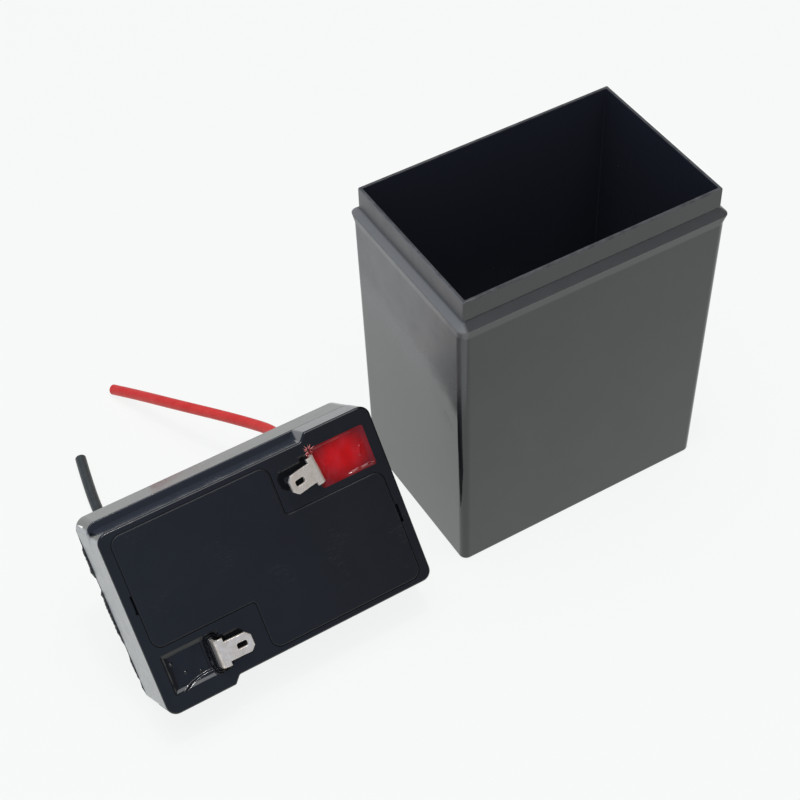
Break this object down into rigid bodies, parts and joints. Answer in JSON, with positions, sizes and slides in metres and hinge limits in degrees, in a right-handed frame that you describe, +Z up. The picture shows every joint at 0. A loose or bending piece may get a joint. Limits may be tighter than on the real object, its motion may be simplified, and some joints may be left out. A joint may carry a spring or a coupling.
{
  "type": "fence energizer battery case",
  "caption": "Open black moulded case of a small block battery with its terminal lid, push-on tabs and cut leads standing beside it.",
  "frame": {"origin": "middle of the case's flat base, on the surface that it stands on", "axes": "+Z up out of the case's mouth, X along the case's long side, Y along its short side, lid on the -X side"},
  "size_m": [0.1545, 0.1082, 0.0875],
  "materials": {
    "case_plastic": "black moulded ABS, glossy, with fine scuffs",
    "lid_plastic": "black moulded ABS, glossy",
    "plate_plastic": "black moulded ABS, satin gloss",
    "red_resin": "cast translucent red resin, very glossy",
    "black_resin": "cast black resin, very glossy",
    "tinned_brass": "tin-plated brass, stamped",
    "solder": "solidified tin solder, semi-bright",
    "red_pvc": "soft red PVC, satin",
    "black_pvc": "soft black PVC, satin",
    "copper": "bare stranded copper",
    "valve_rubber": "soft black rubber, matt",
    "sealant": "hardened black joint sealant, lumpy"
  },
  "bodies": {
    "case": {"case_shell": "case_plastic"},
    "lid": {"lid_shell": "lid_plastic", "vent_cover_plate": "plate_plastic", "vent_cap_1": "valve_rubber", "vent_cap_2": "valve_rubber", "vent_cap_3": "valve_rubber", "positive_potting": "red_resin", "negative_potting": "black_resin", "positive_tab": "tinned_brass", "negative_tab": "tinned_brass", "positive_solder_joint": "solder", "negative_solder_joint": "solder", "joint_sealant": "sealant", "red_lead_sleeve": "red_pvc", "red_lead_core": "copper", "black_lead_sleeve": "black_pvc", "black_lead_core": "copper"}
  },
  "joints": [
    {"name": "lid_lift", "type": "slide", "parent": "case", "child": "lid", "axis": [0, 0, 1], "range_m": [0, 0.1]}
  ]
}
